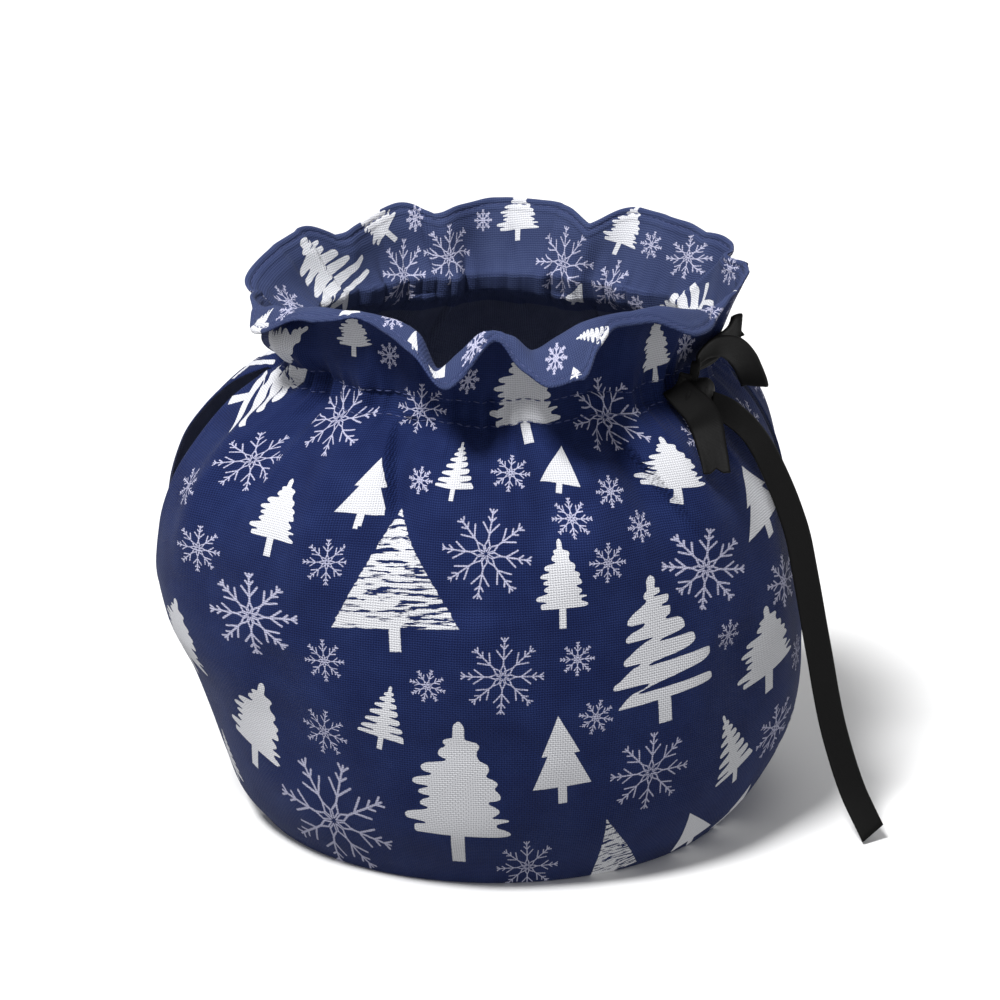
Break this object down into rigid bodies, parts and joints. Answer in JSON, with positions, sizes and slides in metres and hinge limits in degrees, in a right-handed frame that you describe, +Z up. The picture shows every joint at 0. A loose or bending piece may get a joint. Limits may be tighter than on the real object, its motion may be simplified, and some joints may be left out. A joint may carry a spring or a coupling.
{
  "type": "tea cosy",
  "caption": "Drawstring tea cosy of printed canvas, open at the sides for spout and handle, with a gathered neck, a ruffled collar and a flat ribbon tied in a bow.",
  "frame": {"origin": "middle of the cosy's box, without the long free end of the ribbon, on the surface that the hem rests on", "axes": "+X towards the handle side, -X towards the spout side, -Y towards the front of the picture, +Z up"},
  "size_m": [0.2223, 0.1873, 0.1724],
  "materials": {
    "printed_canvas": "matte plain weave, navy with a light winter print",
    "black_ribbon": "matte woven ribbon"
  },
  "bodies": {
    "root": {"front_panel": "printed_canvas", "back_panel": "printed_canvas", "ribbon_knot": "black_ribbon", "ribbon_loop_upper": "black_ribbon", "ribbon_loop_lower": "black_ribbon", "ribbon_tail_short": "black_ribbon", "ribbon_tail_long": "black_ribbon"}
  },
  "joints": []
}
